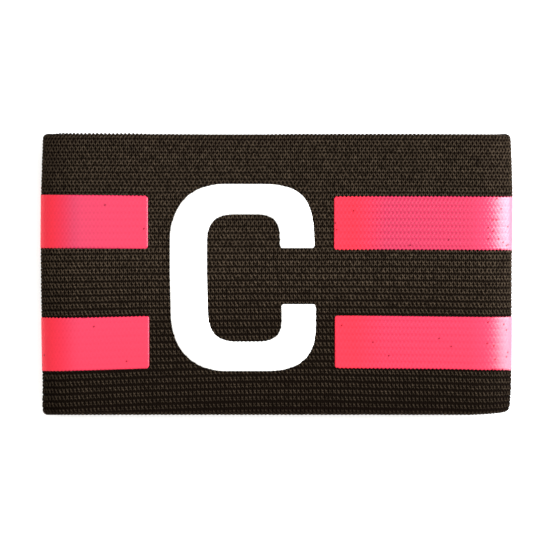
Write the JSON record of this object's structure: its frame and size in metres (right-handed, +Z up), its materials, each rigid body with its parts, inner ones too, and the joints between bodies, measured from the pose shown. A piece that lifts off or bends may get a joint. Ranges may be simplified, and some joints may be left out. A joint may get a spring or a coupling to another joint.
{
  "type": "captain armband",
  "caption": "Closed loop of wide ribbed elastic lying flat, worn on the upper arm, with a raised printed letter between raised bars that wrap the folds.",
  "frame": {"origin": "on the surface that the band rests on, under the middle of the flattened loop", "axes": "+X along the flattened loop from the left fold to the right fold as the print is read, +Y across the band towards the top of the letter, +Z up through the printed face"},
  "size_m": [0.1271, 0.075, 0.0111],
  "materials": {
    "elastic": "matte ribbed knitted elastic, almost black",
    "white_print": "flexible matte white ink with the knit pressed through it",
    "pink_print": "flexible glossy pink ink with the knit pressed through it"
  },
  "bodies": {
    "root": {"elastic_band": "elastic", "letter_c": "white_print", "bar_left_upper": "pink_print", "bar_left_lower": "pink_print", "bar_right_upper": "pink_print", "bar_right_lower": "pink_print"}
  },
  "joints": []
}
